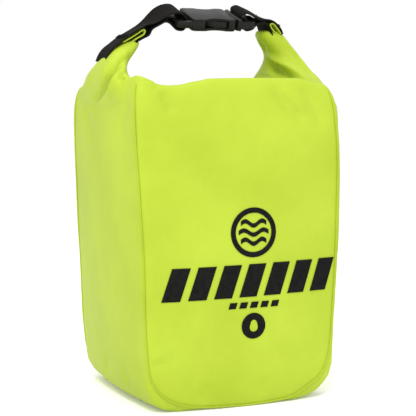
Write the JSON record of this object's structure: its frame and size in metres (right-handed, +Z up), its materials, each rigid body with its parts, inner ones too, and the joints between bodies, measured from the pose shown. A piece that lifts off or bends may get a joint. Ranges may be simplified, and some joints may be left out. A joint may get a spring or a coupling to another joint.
{
  "type": "roll-top dry bag",
  "caption": "Boxy roll-top waterproof bag in bright coated fabric, its rolled mouth folded up and joined by a side-release buckle as a carry loop.",
  "frame": {"origin": "centre of the flat base, on the surface the bag stands on", "axes": "+Z up, +X along the width towards the right of the front panel, -Y out of the printed front panel"},
  "size_m": [0.1966, 0.1718, 0.3349],
  "materials": {
    "coated_fabric": "fluorescent yellow-green coated woven nylon, soft satin sheen",
    "seam_piping": "same fabric turned and stitched into a raised seam",
    "seam_tape": "clear-grey heat-bonded sealing tape",
    "stiffener": "flexible flat plastic strip sewn inside the mouth hem",
    "webbing": "black ribbed polypropylene webbing",
    "thread": "black bonded polyester stitches",
    "moulded_buckle": "black acetal, fine matt moulded texture"
  },
  "bodies": {
    "bag_body": {"front_panel": "coated_fabric", "back_panel": "coated_fabric", "left_gusset": "coated_fabric", "right_gusset": "coated_fabric", "bottom_panel": "coated_fabric", "front_seam_piping": "seam_piping", "rear_seam_piping": "seam_piping", "front_seam_tape": "seam_tape", "rear_seam_tape": "seam_tape"},
    "closure": {"neck_front": "coated_fabric", "neck_rear": "coated_fabric", "neck_left": "coated_fabric", "neck_right": "coated_fabric", "mouth_roll": "coated_fabric", "mouth_stiffener": "stiffener", "webbing_tab_left": "webbing", "bar_tack_left": "thread", "buckle_female": "moulded_buckle"},
    "right_roll_arm": {"mouth_roll_right": "coated_fabric", "mouth_stiffener_right": "stiffener"},
    "buckle_plug": {"buckle_male": "moulded_buckle", "webbing_tab_right": "webbing", "bar_tack_right": "thread"},
    "front_release": {"buckle_arm_front": "moulded_buckle"},
    "rear_release": {"buckle_arm_rear": "moulded_buckle"}
  },
  "joints": [
    {"name": "carry_loop_tilt", "type": "hinge", "parent": "bag_body", "child": "closure", "pos_m": [0, 0, 0.2615], "axis": [1, 0, 0], "range_deg": [-38, 12], "stiffness_Nm_per_rad": 0.4, "deforming": ["neck_front", "neck_rear", "neck_left", "neck_right"]},
    {"name": "buckle_pull", "type": "slide", "parent": "closure", "child": "buckle_plug", "axis": [1, 0, 0], "range_m": [0, 0.026], "deforming": ["webbing_tab_right", "bar_tack_right", "buckle_arm_front", "buckle_arm_rear"]},
    {"name": "right_arm_swing", "type": "hinge", "parent": "closure", "child": "right_roll_arm", "pos_m": [0.0705, 0, 0.2535], "axis": [0, 1, 0], "range_deg": [0, 25]},
    {"name": "front_release_squeeze", "type": "hinge", "parent": "buckle_plug", "child": "front_release", "pos_m": [0.0136, -0.02935, 0.31788], "axis": [0, -0.3256, 0.9455], "range_deg": [-8, 0], "stiffness_Nm_per_rad": 0.05},
    {"name": "rear_release_squeeze", "type": "hinge", "parent": "buckle_plug", "child": "rear_release", "pos_m": [0.0136, -0.0112, 0.32412], "axis": [0, -0.3256, 0.9455], "range_deg": [0, 8], "stiffness_Nm_per_rad": 0.05}
  ],
  "couplings": [
    {"joint": "right_arm_swing", "follows": "buckle_pull", "rad_per_m": 16.1},
    {"joint": "rear_release_squeeze", "follows": "front_release_squeeze", "ratio": -1}
  ]
}
